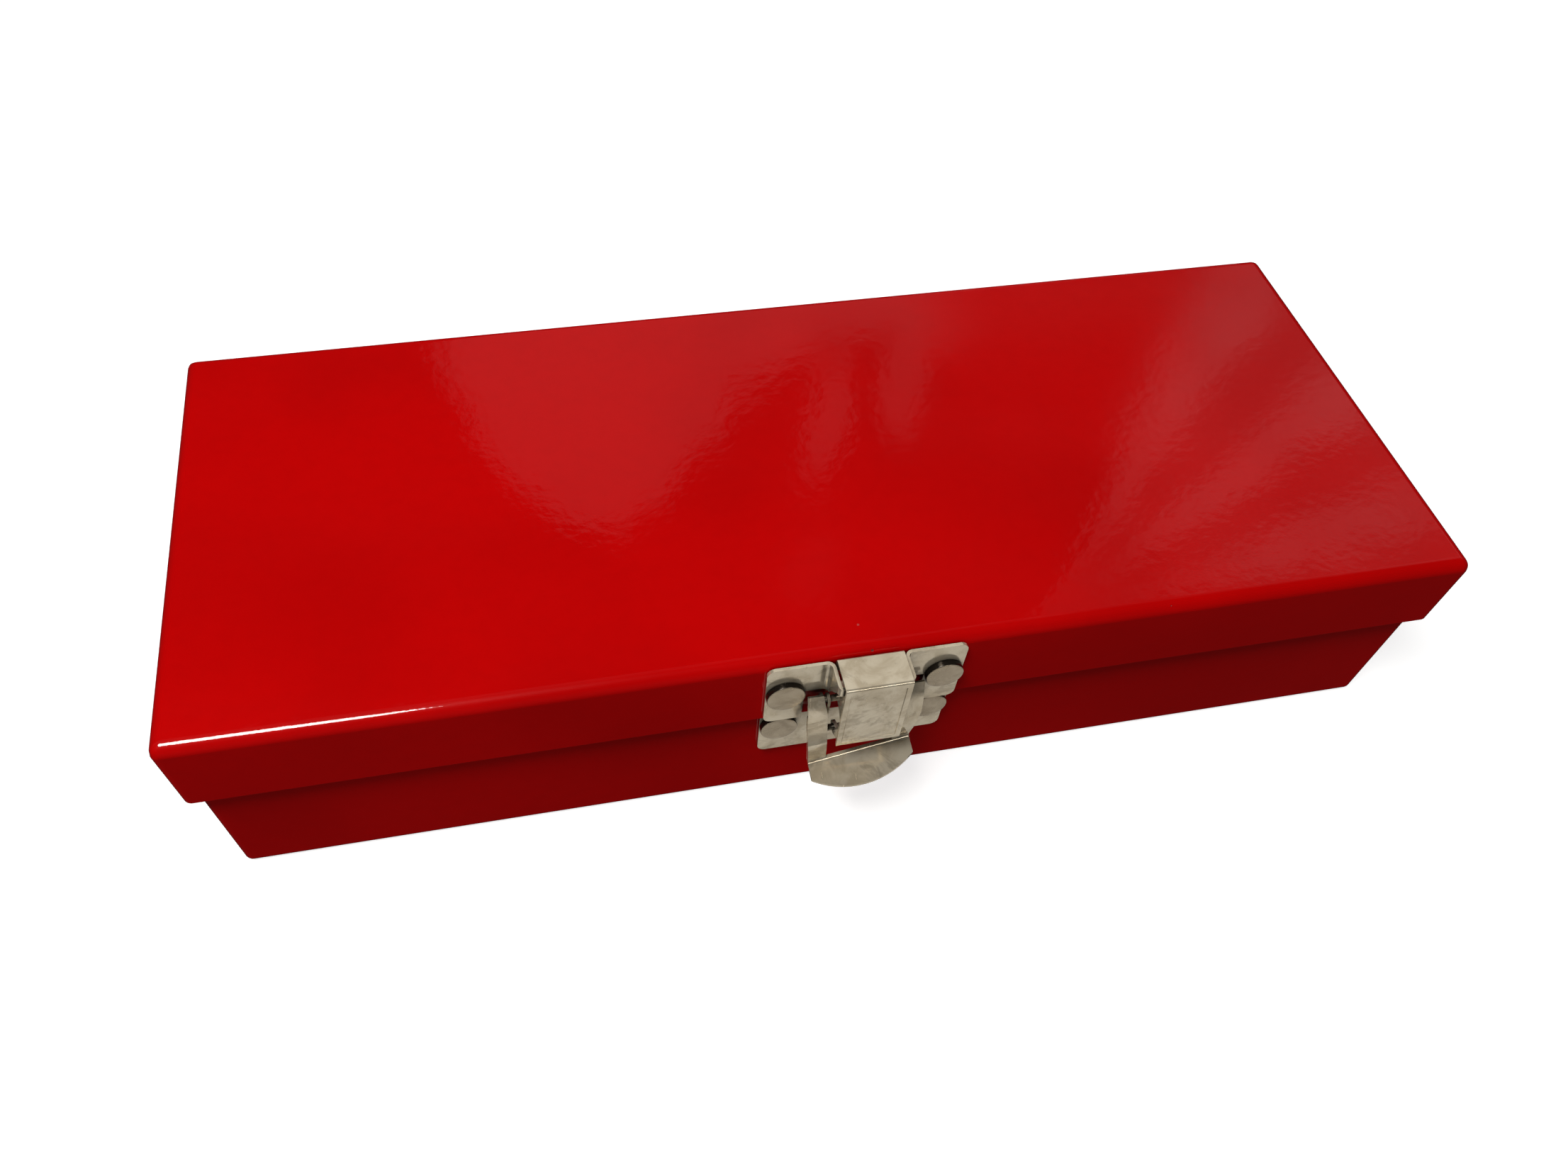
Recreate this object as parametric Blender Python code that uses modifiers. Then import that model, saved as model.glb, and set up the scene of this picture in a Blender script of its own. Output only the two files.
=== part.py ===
"""Small steel toolbox: a folded body, an overlapping lid, two butt hinges and a draw latch.

The origin is the centre of the underside. +X runs along the box, -Y is the latch side, +Z is up.
"""

from math import acos, asin, cos, degrees, pi, radians, sin, tan

import bmesh
import bpy
from mathutils import Matrix, Vector

MM = 0.001

# The box: outside of the lid, and how far the body stands inside it
LENGTH = 304 * MM
WIDTH = 120 * MM
HEIGHT = 58 * MM
SKIRT = 22 * MM
SHEET = 1.0 * MM
END_STEP = 2.0 * MM
SIDE_STEP = 2.6 * MM
RIM_Z = 52 * MM
TOP_BEND = 3.0 * MM
CORNER_BEND = 2.0 * MM
BEND_STEPS = 4

FACE_Y = -WIDTH / 2
BODY_FACE_Y = FACE_Y + SIDE_STEP
SKIRT_Z = HEIGHT - SKIRT

# Clearances between pieces
REST_GAP = 0.3 * MM
PIN_GAP = 0.15 * MM

# Latch plates: u is the distance out from the lid's face, x is counted from the middle
PLATE = 0.8 * MM
PLATE_HALF = 23.3 * MM
PLATE_CORNER = 2.0 * MM
STRIKE_TOP = 56.7 * MM
STRIKE_LOW = 36.1 * MM
STRIKE_NOTCH_HALF = 14.15 * MM
STRIKE_NOTCH_Z = 47.0 * MM
STRIKE_WALL_X = 8.8 * MM
STRIKE_REACH = 8.3 * MM
STRIKE_BAR_LOW = 54.2 * MM
STRIKE_BAR_TOP = 56.5 * MM
STRIKE_WALL_IN_Z = 47.6 * MM
STRIKE_WALL_OUT_Z = 54.0 * MM
BASE_LOW = 18.8 * MM
BASE_TOP = 35.4 * MM
LATCH_BEND = 1.1 * MM

# Rivets of the latch
RIVET_X = 18.75 * MM
STRIKE_RIVET_Z = 47.2 * MM
BASE_RIVET_Z = 30.1 * MM
LATCH_HEAD_R = 4.5 * MM
LATCH_HEAD_H = 1.5 * MM
LATCH_SHANK_R = 1.6 * MM
TAIL_H = 0.8 * MM
RIVET_EDGE = 0.22

# Ears, pins and spring of the latch, places given as (u, z)
PIVOT = (2.6 * MM, 44.9 * MM)
LINK_PIVOT = (4.4 * MM, 35.0 * MM)
PIN_R = 0.8 * MM
PIN_HALF = 10.9 * MM
EAR_X = 8.9 * MM
EAR_SHEET = 0.7 * MM
EAR_R = 1.5 * MM
SPRING_R = 1.45 * MM
SPRING_WIRE_R = 0.38 * MM
SPRING_TURNS = 5
SPRING_PITCH = 1.1 * MM

# Draw link
LINK_HALF = 7.7 * MM
LINK_SHEET = 0.6 * MM
LINK_BEND = 0.75 * MM
LINK_BACK = 0.7 * MM
LINK_FRONT = 9.7 * MM
LINK_TOP = 57.8 * MM
LINK_LOW = 35.1 * MM
LINK_LIP_Z = 54.0 * MM
LINK_CHEEK_X = 6.8 * MM
LINK_EYE_R = 1.7 * MM

# Handle
HANDLE_SHEET = 0.7 * MM
HANDLE_HALF = 13.8 * MM
HANDLE_WINDOW = 9.0 * MM
HANDLE_CHEEK_X = 10.4 * MM
HANDLE_WINDOW_TOP = 10.15 * MM
HANDLE_SHOULDER_Z = 41.0 * MM
HANDLE_TOP = 47.1 * MM
TAB_Z = 27.2 * MM
TAB_DROP = 1.5 * MM
TAB_END = 11.4 * MM
TAB_MIDDLE = 15.6 * MM
TWIST = 0.12
TAPER = 0.06
TAPER_SHIFT = 0.5 * MM
BENT_FROM_Z = 38 * MM
BENT_TO_Z = 28 * MM
BENT_CUTS = 4

# Butt hinges at the back
HINGE_X = 95 * MM
HINGE_Y = WIDTH / 2 + 2.6 * MM
HINGE_Z = 35 * MM
HINGE_WIDTH = 30 * MM
KNUCKLE_R = 2.2 * MM
KNUCKLE_MIDDLE = 12 * MM
LEAF = 0.8 * MM
LEAF_GAP = 0.4 * MM
LEAF_TOP = 52 * MM
LEAF_LOW = 19 * MM
HINGE_PIN_R = 1.2 * MM
HINGE_RIVET_X = 9 * MM
HINGE_HEAD_R = 3.0 * MM
HINGE_HEAD_H = 1.2 * MM
HINGE_SHANK_R = 1.2 * MM

RED_PAINT = (0.52, 0.004, 0.004), 0.12, 0.0
NICKEL = (0.62, 0.59, 0.50), 0.28, 1.0
SPRING_STEEL = (0.35, 0.34, 0.32), 0.35, 1.0

# Which way a flat outline faces: turns that stand its plane up
FRONT = (pi / 2, 0, 0)
SIDE = (pi / 2, 0, -pi / 2)
BACK = (-pi / 2, 0, 0)
LEVEL = (0, 0, 0)


def clear_scene():
    for old in list(bpy.data.objects):
        bpy.data.objects.remove(old)


def new_collection(name):
    group = bpy.data.collections.new(name)
    bpy.context.scene.collection.children.link(group)
    return group


clear_scene()
PARTS = new_collection("toolbox")
CUTTERS = new_collection("toolbox_cutters")


def front_y(u):
    """The world Y of a distance u out from the lid's front face."""
    return FACE_Y - u


def paint(piece, look):
    colour, roughness, metallic = look
    material = bpy.data.materials.new(piece.name)
    material.use_nodes = True
    shader = material.node_tree.nodes["Principled BSDF"]
    shader.inputs["Base Color"].default_value = (*colour, 1.0)
    shader.inputs["Roughness"].default_value = roughness
    shader.inputs["Metallic"].default_value = metallic
    piece.data.materials.clear()
    piece.data.materials.append(material)


def object_from(name, bm, group=PARTS):
    mesh = bpy.data.meshes.new(name)
    bm.to_mesh(mesh)
    bm.free()
    piece = bpy.data.objects.new(name, mesh)
    group.objects.link(piece)
    return piece


def hide_tool(tool):
    tool.hide_render = True
    tool.display_type = "WIRE"


def mesh_of(piece, group):
    """The evaluated piece as a plain mesh object at the same place, with loose caps welded on."""
    bpy.context.view_layer.update()
    seen = piece.evaluated_get(bpy.context.evaluated_depsgraph_get())
    mesh = bpy.data.meshes.new_from_object(seen)
    bm = bmesh.new()
    bm.from_mesh(mesh)
    bmesh.ops.remove_doubles(bm, verts=bm.verts, dist=0.001 * MM)
    bm.to_mesh(mesh)
    bm.free()
    plain = bpy.data.objects.new(piece.name, mesh)
    plain.matrix_world = piece.matrix_world.copy()
    name = piece.name
    bpy.data.objects.remove(piece)
    plain.name = name
    group.objects.link(plain)
    return plain


def boolean(piece, tool, operation):
    hide_tool(tool)
    change = piece.modifiers.new(operation.lower(), "BOOLEAN")
    change.operation = operation
    change.object = tool
    change.solver = "EXACT"


def fillet(corners, steps=4):
    """An outline from corners (x, y, radius): each corner with a radius becomes an arc."""
    outline = []
    count = len(corners)
    for i, (x, y, radius) in enumerate(corners):
        corner = Vector((x, y))
        if radius == 0:
            outline.append((x, y))
            continue
        back = (Vector(corners[i - 1][:2]) - corner).normalized()
        ahead = (Vector(corners[(i + 1) % count][:2]) - corner).normalized()
        half = back.angle(ahead) / 2
        centre = corner + (back + ahead).normalized() * (radius / sin(half))
        first = corner + back * (radius / tan(half)) - centre
        last = corner + ahead * (radius / tan(half)) - centre
        for k in range(steps + 1):
            point = centre + first.slerp(last, k / steps).normalized() * radius
            outline.append((point.x, point.y))
    return outline


def arc(centre, radius, start, end, steps):
    """Points on an arc between two angles in degrees."""
    angles = [radians(start + (end - start) * k / steps) for k in range(steps + 1)]
    return [(centre[0] + radius * cos(a), centre[1] + radius * sin(a)) for a in angles]


def flat_plate(name, outlines, thickness, place, turn, group=PARTS):
    """A plate from closed outlines, the first its edge and the rest its holes."""
    curve = bpy.data.curves.new(name, "CURVE")
    curve.dimensions = "2D"
    curve.fill_mode = "BOTH"
    curve.extrude = thickness / 2
    for outline in outlines:
        spline = curve.splines.new("POLY")
        spline.points.add(len(outline) - 1)
        for point, (x, y) in zip(spline.points, outline):
            point.co = (x, y, 0, 1)
        spline.use_cyclic_u = True
    flat = bpy.data.objects.new(name, curve)
    group.objects.link(flat)
    flat.location = place
    flat.rotation_euler = turn
    return mesh_of(flat, group)


def side_plate(name, outlines, thickness, x, group=CUTTERS):
    """A plate square to X, its outlines given as (u, z)."""
    return flat_plate(name, outlines, thickness, (x, FACE_Y, 0), SIDE, group)


def block(name, low, high, group=CUTTERS):
    bm = bmesh.new()
    bmesh.ops.create_cube(bm, size=1)
    low, high = Vector(low), Vector(high)
    bmesh.ops.scale(bm, vec=high - low, verts=bm.verts)
    bmesh.ops.translate(bm, vec=(low + high) / 2, verts=bm.verts)
    return object_from(name, bm, group)


def rod(name, radius, half_length, place, axis, group=PARTS, sides=24, chamfer=0.0):
    """A round bar along X or Y."""
    bm = bmesh.new()
    bmesh.ops.create_cone(
        bm, cap_ends=True, segments=sides, radius1=radius, radius2=radius, depth=2 * half_length
    )
    if chamfer:
        rims = [edge for edge in bm.edges if abs(edge.verts[0].co.z - edge.verts[1].co.z) < half_length]
        bmesh.ops.bevel(bm, geom=rims, offset=chamfer, segments=2, affect="EDGES", profile=0.5)
    turn = Matrix.Rotation(pi / 2, 4, "Y" if axis == "X" else "X")
    bmesh.ops.transform(bm, matrix=turn, verts=bm.verts)
    bar = object_from(name, bm, group)
    bar.location = place
    return bar


def open_box(name, half_x, half_y, low, high, open_end):
    """A folded open box of sheet: open_end is +1 for an open top, -1 for an open underside."""
    bm = bmesh.new()
    bmesh.ops.create_cube(bm, size=1)
    bmesh.ops.scale(bm, vec=(2 * half_x, 2 * half_y, high - low), verts=bm.verts)
    bmesh.ops.translate(bm, vec=(0, 0, (low + high) / 2), verts=bm.verts)
    mouth = [face for face in bm.faces if face.normal.z * open_end > 0.5]
    bmesh.ops.delete(bm, geom=mouth, context="FACES_ONLY")
    return bm


def folded_shell(name, half_x, half_y, low, high, open_end, flat_bend):
    """Sheet folded round one flat face, with its own bend there and the corner bend at the uprights."""
    bm = open_box(name, half_x, half_y, low, high, open_end)
    wide = max(flat_bend, CORNER_BEND)
    weight = bm.edges.layers.float.new("bevel_weight_edge")
    for edge in bm.edges:
        upright = abs(edge.verts[0].co.z - edge.verts[1].co.z) > 1 * MM
        rim = len(edge.link_faces) == 1
        edge[weight] = 0 if rim else (CORNER_BEND if upright else flat_bend) / wide
    shell = object_from(name, bm)
    bend = shell.modifiers.new("bends", "BEVEL")
    bend.limit_method = "WEIGHT"
    bend.width = wide
    bend.segments = BEND_STEPS
    wall = shell.modifiers.new("sheet", "SOLIDIFY")
    wall.thickness = SHEET
    wall.offset = -1
    wall.use_even_offset = True
    return shell


def bent_strip(name, path, half_width, thickness, bend, group=PARTS):
    """Sheet bent along a path of (u, z) points, running straight across in X. The path is its outside."""
    bm = bmesh.new()
    rows = []
    for u, z in path:
        ends = [bm.verts.new((x, front_y(u), z)) for x in (-half_width, half_width)]
        rows.append(ends)
    for (a, b), (c, d) in zip(rows, rows[1:]):
        bm.faces.new((a, c, d, b))
    strip = object_from(name, bm, group)
    round_off = strip.modifiers.new("bends", "BEVEL")
    round_off.limit_method = "ANGLE"
    round_off.angle_limit = radians(25)
    round_off.width = bend
    round_off.segments = BEND_STEPS
    wall = strip.modifiers.new("sheet", "SOLIDIFY")
    wall.thickness = thickness
    wall.offset = -1
    wall.use_even_offset = True
    return strip


def turned(name, profile, place, turn, steps):
    """A turned piece from a profile of (radius, height), from its top to its foot."""
    bm = bmesh.new()
    line = [bm.verts.new((radius, 0, height)) for radius, height in profile]
    for a, b in zip(line, line[1:]):
        bm.edges.new((a, b))
    piece = object_from(name, bm)
    spin = piece.modifiers.new("turned", "SCREW")
    spin.steps = steps
    spin.render_steps = steps
    spin.use_merge_vertices = True
    spin.merge_threshold = 0.001 * MM
    spin.use_smooth_shade = True
    piece.location = place
    piece.rotation_euler = turn
    return piece


def rivet(name, head_r, head_h, shank_r, grip, tail_r, place, turn, steps):
    """A rivet whose head stands at place: grip is the sheet it holds, tail_r 0 sets its tail flush."""
    edge = RIVET_EDGE * head_h
    profile = [(0, head_h)]
    profile += arc((head_r - edge, head_h - edge), edge, 90, 0, 3)
    profile += [(head_r, 0), (shank_r, 0)]
    if tail_r:
        profile += [(shank_r, -grip), (tail_r, -grip), (tail_r, -grip - TAIL_H), (0, -grip - TAIL_H)]
    else:
        profile += [(shank_r, -grip), (0, -grip)]
    return turned(name, profile, place, turn, steps)


def axis_empty(name, place):
    empty = bpy.data.objects.new(name, None)
    empty.location = place
    PARTS.objects.link(empty)
    return empty


def attach(piece, axis):
    """Parents a piece to the empty on its joint's axis, leaving it where it stands."""
    piece.parent = axis
    piece.matrix_parent_inverse = Matrix.Translation(-axis.location)


def drill(piece, name, radius, half_length, place, axis):
    boolean(piece, rod(name, radius, half_length, place, axis, CUTTERS), "DIFFERENCE")


# Axes that the bodies turn about
LID_AXIS = axis_empty("lid_axis", (0, HINGE_Y, HINGE_Z))
HANDLE_AXIS = axis_empty("handle_axis", (0, front_y(PIVOT[0]), PIVOT[1]))
LINK_AXIS = axis_empty("link_axis", (0, front_y(LINK_PIVOT[0]), LINK_PIVOT[1]))

SIDES = (("left", -1), ("right", 1))
HINGE_LEAVES = ("lower", "upper")
LEAF_RIVET_Z = {"lower": 25 * MM, "upper": 46 * MM}


def hinge_rivet_places(leaf):
    for side, sign in SIDES:
        for end, offset in (("inner", -HINGE_RIVET_X), ("outer", HINGE_RIVET_X)):
            x = sign * (HINGE_X + offset)
            yield f"hinge_rivet_{leaf}_{side}_{end}", x, LEAF_RIVET_Z[leaf]


def make_body_shell():
    shell = folded_shell(
        "body_shell", LENGTH / 2 - END_STEP, WIDTH / 2 - SIDE_STEP, 0, RIM_Z, 1, CORNER_BEND
    )
    hole_r = LATCH_SHANK_R + PIN_GAP
    for side, sign in SIDES:
        place = (sign * RIVET_X, BODY_FACE_Y, BASE_RIVET_Z)
        drill(shell, f"body_hole_{side}", hole_r, 3 * MM, place, "Y")
    for name, x, z in hinge_rivet_places("lower"):
        drill(shell, name + "_hole", HINGE_SHANK_R + PIN_GAP, 3 * MM, (x, -BODY_FACE_Y, z), "Y")
    paint(shell, RED_PAINT)


def make_lid_shell():
    shell = folded_shell("lid_shell", LENGTH / 2, WIDTH / 2, SKIRT_Z, HEIGHT, -1, TOP_BEND)
    for side, sign in SIDES:
        place = (sign * RIVET_X, FACE_Y, STRIKE_RIVET_Z)
        drill(shell, f"lid_hole_{side}", LATCH_SHANK_R + PIN_GAP, 3 * MM, place, "Y")
    for name, x, z in hinge_rivet_places("upper"):
        drill(shell, name + "_hole", HINGE_SHANK_R + PIN_GAP, 3 * MM, (x, -FACE_Y, z), "Y")
    paint(shell, RED_PAINT)
    attach(shell, LID_AXIS)


def make_strike_plate():
    """Two wings on the lid, joined by a hat-shaped loop that the link hooks over."""
    bm = bmesh.new()
    inner = REST_GAP + PLATE
    path = [
        (-PLATE_HALF, inner),
        (-STRIKE_WALL_X, inner),
        (-STRIKE_WALL_X, STRIKE_REACH),
        (STRIKE_WALL_X, STRIKE_REACH),
        (STRIKE_WALL_X, inner),
        (PLATE_HALF, inner),
    ]
    rows = [[bm.verts.new((x, front_y(u), z)) for z in (STRIKE_LOW, STRIKE_TOP)] for x, u in path]
    for (a, b), (c, d) in zip(rows, rows[1:]):
        bm.faces.new((a, c, d, b))
    strike = object_from("strike_plate", bm)
    bends = strike.modifiers.new("bends", "BEVEL")
    bends.limit_method = "ANGLE"
    bends.width = LATCH_BEND
    bends.segments = BEND_STEPS
    wall = strike.modifiers.new("sheet", "SOLIDIFY")
    wall.thickness = PLATE
    wall.offset = -1
    wall.use_even_offset = True

    far = front_y(12 * MM)
    wall_root = front_y(2.2 * MM)
    notch = block(
        "strike_notch",
        (-STRIKE_NOTCH_HALF, wall_root, STRIKE_LOW - 1 * MM),
        (STRIKE_NOTCH_HALF, 1 * MM + FACE_Y, STRIKE_NOTCH_Z),
    )
    boolean(strike, notch, "DIFFERENCE")
    below = [
        (2.1 * MM, STRIKE_LOW - 1 * MM),
        (12 * MM, STRIKE_LOW - 1 * MM),
        (12 * MM, STRIKE_WALL_OUT_Z),
        (7.2 * MM, STRIKE_WALL_OUT_Z),
        (2.1 * MM, STRIKE_WALL_IN_Z),
    ]
    boolean(strike, side_plate("strike_wall_cut", [below], 4 * STRIKE_WALL_X, 0), "DIFFERENCE")
    bar_half = STRIKE_WALL_X - PLATE - 0.05 * MM
    under_bar = block(
        "strike_bar_under",
        (-bar_half, far, STRIKE_LOW - 2 * MM),
        (bar_half, front_y(3 * MM), STRIKE_BAR_LOW),
    )
    over_bar = block(
        "strike_bar_over",
        (-bar_half, far, STRIKE_BAR_TOP),
        (bar_half, front_y(3 * MM), HEIGHT),
    )
    boolean(strike, under_bar, "DIFFERENCE")
    boolean(strike, over_bar, "DIFFERENCE")
    corners = [
        (-PLATE_HALF, STRIKE_LOW, PLATE_CORNER),
        (PLATE_HALF, STRIKE_LOW, PLATE_CORNER),
        (PLATE_HALF, STRIKE_TOP, PLATE_CORNER),
        (-PLATE_HALF, STRIKE_TOP, PLATE_CORNER),
    ]
    trim = flat_plate(
        "strike_trim", [fillet(corners)], 30 * MM, (0, FACE_Y, 0), FRONT, CUTTERS
    )
    boolean(strike, trim, "INTERSECT")
    for side, sign in SIDES:
        place = (sign * RIVET_X, front_y(inner), STRIKE_RIVET_Z)
        drill(strike, f"strike_hole_{side}", LATCH_SHANK_R + PIN_GAP, 3 * MM, place, "Y")
    paint(strike, NICKEL)
    attach(strike, LID_AXIS)


def make_latch_base():
    """A plate on the body with two ears that stand out and up in front of the lid's skirt."""
    corners = [
        (-PLATE_HALF, BASE_LOW, PLATE_CORNER),
        (PLATE_HALF, BASE_LOW, PLATE_CORNER),
        (PLATE_HALF, BASE_TOP, 0.5 * MM),
        (-PLATE_HALF, BASE_TOP, 0.5 * MM),
    ]
    middle = BODY_FACE_Y - REST_GAP - PLATE / 2
    base = flat_plate("latch_base", [fillet(corners)], PLATE, (0, middle, 0), FRONT)
    root = SIDE_STEP - REST_GAP - PLATE / 2
    ear = [
        (-root, 23.5 * MM),
        (0.8 * MM, 24.5 * MM),
        (3.4 * MM, 33.0 * MM),
        *arc(PIVOT, EAR_R, 0, 180, 8),
        (0.6 * MM, 38 * MM),
        (0.6 * MM, BASE_TOP - 0.1 * MM),
        (-root, BASE_TOP - 0.1 * MM),
    ]
    for side, sign in SIDES:
        boolean(base, side_plate(f"latch_ear_{side}", [ear], EAR_SHEET, sign * EAR_X), "UNION")
    pin_place = (0, front_y(PIVOT[0]), PIVOT[1])
    drill(base, "ear_hole", PIN_R + PIN_GAP, 15 * MM, pin_place, "X")
    for side, sign in SIDES:
        place = (sign * RIVET_X, middle, BASE_RIVET_Z)
        drill(base, f"base_hole_{side}", LATCH_SHANK_R + PIN_GAP, 3 * MM, place, "Y")
    paint(base, NICKEL)


def make_draw_link():
    """Cover, hook and two cheeks in one pressing."""
    path = [
        (LINK_BACK, LINK_LIP_Z),
        (LINK_BACK, LINK_TOP),
        (LINK_FRONT, LINK_TOP),
        (LINK_FRONT, LINK_LOW),
    ]
    link = bent_strip("draw_link", path, LINK_HALF, LINK_SHEET, LINK_BEND)
    u, z = LINK_PIVOT
    inside = LINK_FRONT - LINK_SHEET / 2
    cheek = [
        (inside, LINK_LOW + 0.2 * MM),
        (inside, 53.6 * MM),
        (7.4 * MM, 53.6 * MM),
        (2.0 * MM, 47.0 * MM),
        (2.0 * MM, 46.1 * MM),
        *arc((3.3 * MM, 41.0 * MM), 5.1 * MM, 82, 5, 6),
        (u + 1.9 * MM, z + 2.6 * MM),
        *arc(LINK_PIVOT, LINK_EYE_R, 110, 300, 8),
        (u + 2.6 * MM, z - 0.3 * MM),
    ]
    for side, sign in SIDES:
        boolean(link, side_plate(f"link_cheek_{side}", [cheek], PLATE, sign * LINK_CHEEK_X), "UNION")
    drill(link, "link_eye", PIN_R + PIN_GAP, 12 * MM, (0, front_y(u), z), "X")
    paint(link, NICKEL)
    attach(link, LINK_AXIS)


def bent_place(place):
    """A handle point after the lower end is knocked out of square: narrower, and twisted out on the left."""
    share = (BENT_FROM_Z - place.z) / (BENT_FROM_Z - BENT_TO_Z)
    share = min(max(share, 0.0), 1.0)
    out = -TWIST * place.x * share
    aside = -(TAPER * place.x + TAPER_SHIFT) * share
    return Vector((place.x + aside, place.y - out, place.z))


def make_handle():
    """Two arms and a curved thumb tab in one pressing, with cheeks folded back to the pins."""
    path = [
        (3.2 * MM, HANDLE_TOP),
        (4.8 * MM, 42.8 * MM),
        (6.8 * MM, 32.5 * MM),
        (7.0 * MM, TAB_Z + 0.7 * MM),
        (7.6 * MM, TAB_Z),
        (TAB_MIDDLE + 1 * MM, TAB_Z - TAB_DROP),
    ]
    handle = bent_strip("handle", path, HANDLE_HALF, HANDLE_SHEET, 0.5 * MM)
    half_window = [
        (HANDLE_WINDOW, TAB_Z + 0.4 * MM),
        (HANDLE_WINDOW, HANDLE_SHOULDER_Z),
        (HANDLE_WINDOW_TOP, HANDLE_TOP),
        (HANDLE_WINDOW_TOP, HANDLE_TOP + 2 * MM),
    ]
    window = half_window + [(-x, z) for x, z in reversed(half_window)]
    place = (0, front_y(10 * MM), 0)
    boolean(handle, flat_plate("handle_window", [window], 20 * MM, place, FRONT, CUTTERS), "DIFFERENCE")
    bulge = TAB_MIDDLE - TAB_END
    sweep_r = (HANDLE_HALF**2 + bulge**2) / (2 * bulge)
    plan_half = HANDLE_HALF + 1 * MM
    spread = degrees(asin(plan_half / sweep_r))
    sweep_centre = (0, sweep_r - TAB_MIDDLE)
    outline = [(plan_half, 0), (-plan_half, 0)]
    outline += arc(sweep_centre, sweep_r, 270 - spread, 270 + spread, 16)
    plan = flat_plate("handle_plan", [outline], 80 * MM, (0, FACE_Y, TAB_Z), LEVEL, CUTTERS)
    boolean(handle, plan, "INTERSECT")
    cheek = [
        (2.9 * MM, 46.8 * MM),
        *arc(PIVOT, 1.7 * MM, 100, 215, 6),
        (2.9 * MM, 35.3 * MM),
        (3.4 * MM, 33.9 * MM),
        (4.6 * MM, 33.2 * MM),
        (6.4 * MM, 33.2 * MM),
        (4.45 * MM, 42.8 * MM),
    ]
    for side, sign in SIDES:
        plate = side_plate(f"handle_cheek_{side}", [cheek], HANDLE_SHEET, sign * HANDLE_CHEEK_X)
        boolean(handle, plate, "UNION")
    hem = [
        (4.9 * MM, 41.0 * MM),
        (4.1 * MM, 40.6 * MM),
        (5.0 * MM, 32.5 * MM),
        (5.4 * MM, TAB_Z - 0.4 * MM),
        (8.0 * MM, TAB_Z - 0.4 * MM),
        (6.9 * MM, 27.0 * MM),
        (6.5 * MM, 32.5 * MM),
    ]
    hem_x = HANDLE_HALF - HANDLE_SHEET / 2 - 0.05 * MM
    for side, sign in SIDES:
        boolean(handle, side_plate(f"handle_hem_{side}", [hem], HANDLE_SHEET, sign * hem_x), "UNION")
    handle = mesh_of(handle, PARTS)
    bm = bmesh.new()
    bm.from_mesh(handle.data)
    for step in range(BENT_CUTS + 1):
        level = Vector((0, 0, BENT_TO_Z + (BENT_FROM_Z - BENT_TO_Z) * step / BENT_CUTS))
        whole = bm.verts[:] + bm.edges[:] + bm.faces[:]
        bmesh.ops.bisect_plane(bm, geom=whole, plane_co=level, plane_no=(0, 0, 1))
    bmesh.ops.triangulate(bm, faces=bm.faces)
    for corner in bm.verts:
        corner.co = bent_place(corner.co)
    bm.to_mesh(handle.data)
    bm.free()
    for name, (u, z) in (("handle_pivot_hole", PIVOT), ("handle_link_hole", LINK_PIVOT)):
        drill(handle, name, PIN_R + PIN_GAP, 15 * MM, (0, front_y(u), z), "X")
    paint(handle, NICKEL)
    attach(handle, HANDLE_AXIS)


def make_latch_pins():
    for name, (u, z), axis in (
        ("pivot_pin", PIVOT, None),
        ("link_pin", LINK_PIVOT, HANDLE_AXIS),
    ):
        pin = rod(name, PIN_R, PIN_HALF, (0, front_y(u), z), "X", chamfer=0.2 * MM)
        paint(pin, NICKEL)
        if axis:
            attach(pin, axis)


def make_latch_spring():
    """A torsion spring wound round the pivot pin, one leg down the skirt and one leg towards the link."""
    steps = 12
    half = SPRING_TURNS * SPRING_PITCH / 2
    u, z = PIVOT
    points = [(-half, u - SPRING_R, z - 7.5 * MM)]
    for k in range(SPRING_TURNS * steps + 5):
        turn = pi - 2 * pi * k / steps
        along = -half + SPRING_PITCH * k / steps
        points.append((along, u + SPRING_R * cos(turn), z + SPRING_R * sin(turn)))
    last = points[-1]
    points.append((last[0], last[1] + 3.0 * MM, last[2] - 5.0 * MM))
    curve = bpy.data.curves.new("latch_spring", "CURVE")
    curve.dimensions = "3D"
    curve.bevel_depth = SPRING_WIRE_R
    curve.bevel_resolution = 2
    curve.use_fill_caps = True
    spline = curve.splines.new("POLY")
    spline.points.add(len(points) - 1)
    for point, (x, out, height) in zip(spline.points, points):
        point.co = (x, front_y(out), height, 1)
    spring = bpy.data.objects.new("latch_spring", curve)
    PARTS.objects.link(spring)
    spring = mesh_of(spring, PARTS)
    paint(spring, SPRING_STEEL)


def make_latch_rivets():
    for side, sign in SIDES:
        seat = REST_GAP + PLATE + 0.1 * MM
        place = (sign * RIVET_X, front_y(seat), STRIKE_RIVET_Z)
        grip = seat + SHEET
        upper = rivet(
            f"strike_rivet_{side}", LATCH_HEAD_R, LATCH_HEAD_H, LATCH_SHANK_R, grip, 0, place, FRONT, 32
        )
        paint(upper, NICKEL)
        attach(upper, LID_AXIS)
        place = (sign * RIVET_X, BODY_FACE_Y - seat, BASE_RIVET_Z)
        lower = rivet(
            f"base_rivet_{side}",
            LATCH_HEAD_R,
            LATCH_HEAD_H,
            LATCH_SHANK_R,
            grip + REST_GAP,
            2 * LATCH_SHANK_R,
            place,
            FRONT,
            32,
        )
        paint(lower, NICKEL)


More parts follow.
